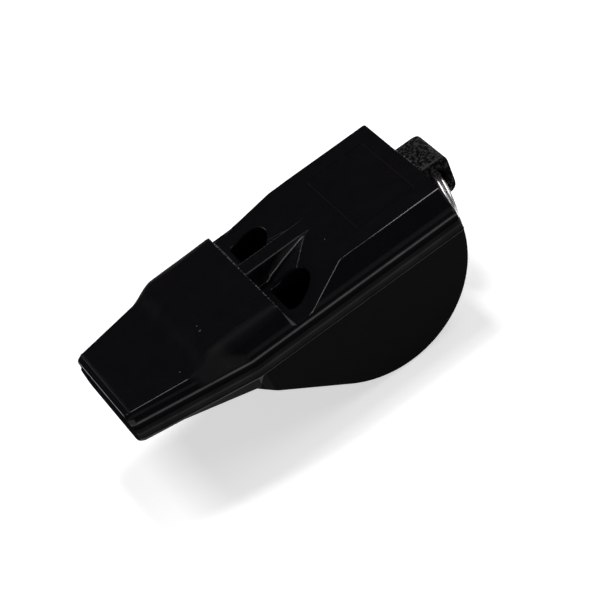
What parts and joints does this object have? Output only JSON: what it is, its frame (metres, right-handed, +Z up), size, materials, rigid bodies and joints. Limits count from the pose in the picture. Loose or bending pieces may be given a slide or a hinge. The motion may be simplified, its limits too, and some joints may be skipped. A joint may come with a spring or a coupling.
{
  "type": "sports whistle",
  "caption": "Pealess sports whistle with a flat mouthpiece, windows behind a raised cover, a round drum below and a split ring in a rear lug.",
  "frame": {"origin": "under the middle of the whistle's length and width, level with the lowest line of the drum", "axes": "+X runs from the mouthpiece to the lug, +Y to the left seen from the mouthpiece, +Z up, square to the flat top"},
  "size_m": [0.0486, 0.025, 0.016],
  "materials": {
    "upper_plastic": "black ABS, polished top with a fine satin on the slopes",
    "lower_plastic": "black ABS, satin",
    "tray_plastic": "black ABS, moulded",
    "ring_steel": "nickel plated spring steel"
  },
  "bodies": {
    "whistle": {"upper_shell": "upper_plastic", "lower_body": "lower_plastic", "windway_insert": "tray_plastic"},
    "ring": {"split_ring": "ring_steel"}
  },
  "joints": [
    {"name": "ring_swing", "type": "hinge", "parent": "whistle", "child": "ring", "pos_m": [0.02215, 0, 0.0122], "axis": [0, -1, 0], "range_deg": [-8, 211]}
  ]
}
